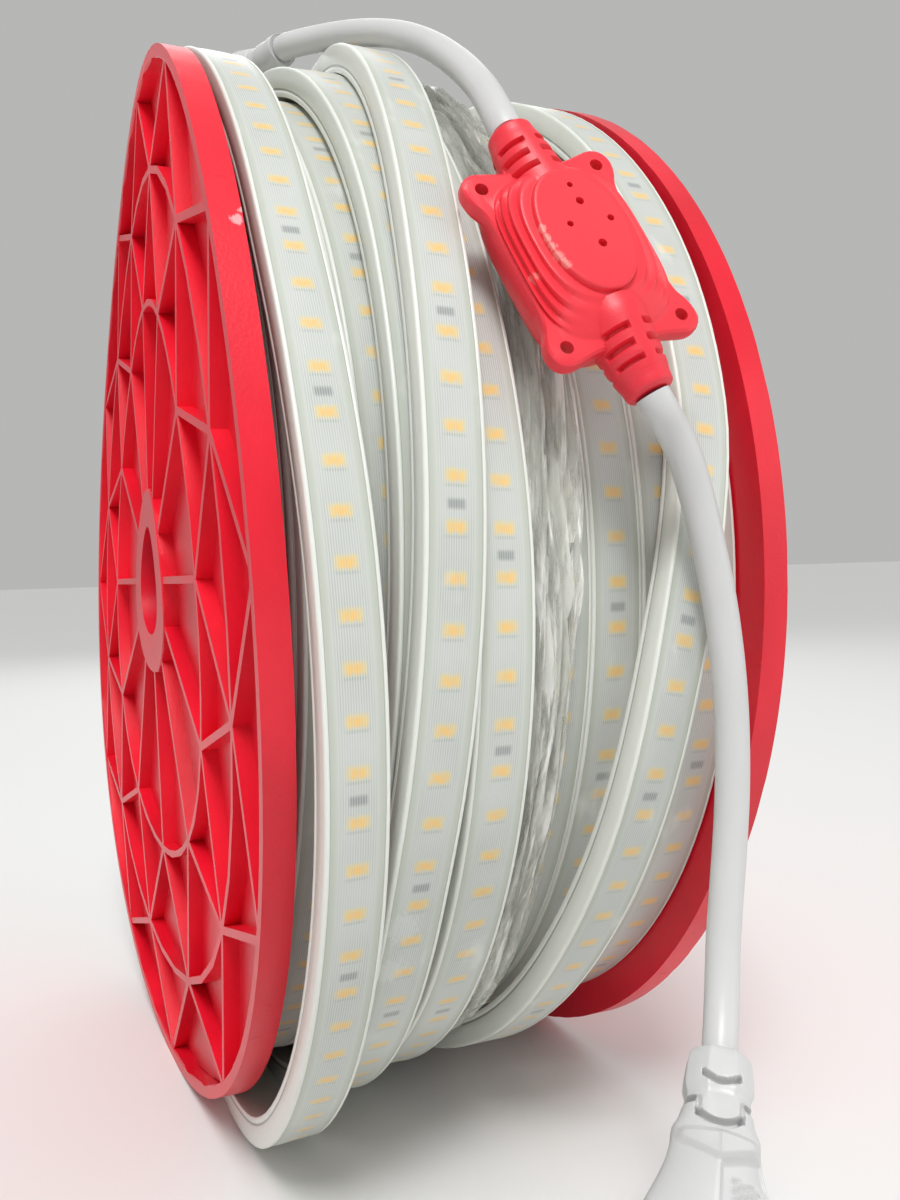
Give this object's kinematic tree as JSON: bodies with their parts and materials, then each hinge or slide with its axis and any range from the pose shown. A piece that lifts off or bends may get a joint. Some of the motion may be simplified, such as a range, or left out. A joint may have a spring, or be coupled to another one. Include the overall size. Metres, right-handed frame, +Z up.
{
  "type": "led rope light",
  "caption": "Reel of flat milky LED rope light, wound to overflowing, with its white lead, moulded rectifier box and two-pin mains plug.",
  "frame": {"origin": "on the floor under the middle of the reel and its strip", "axes": "+Z up, X along the reel's axis with the ribbed near flange towards -X, -Y towards the side the box and plug hang on"},
  "size_m": [0.1038, 0.3153, 0.2596],
  "materials": {
    "reel_red": "moulded, with small nicks along the rims",
    "box_red": "satin moulded, a little rubbed on the plate's edge",
    "strip_milky": "milky translucent extrusion with fine lengthwise lines",
    "wrap_clear": "crumpled clear film",
    "lead_white": "smooth moulded",
    "pin_metal": "plated, drawn"
  },
  "bodies": {
    "root": {"reel_flange_near": "reel_red", "reel_flange_far": "reel_red", "reel_core": "reel_red", "strip_winding": "strip_milky", "strip_loose_turns": "strip_milky", "strip_under_turn": "strip_milky", "wrap_film": "wrap_clear", "strip_end_connector": "lead_white", "rectifier_box": "box_red", "lead_upper": "lead_white", "lead_lower": "lead_white", "plug_body": "lead_white", "plug_pin_left": "pin_metal", "plug_pin_right": "pin_metal"}
  },
  "joints": []
}
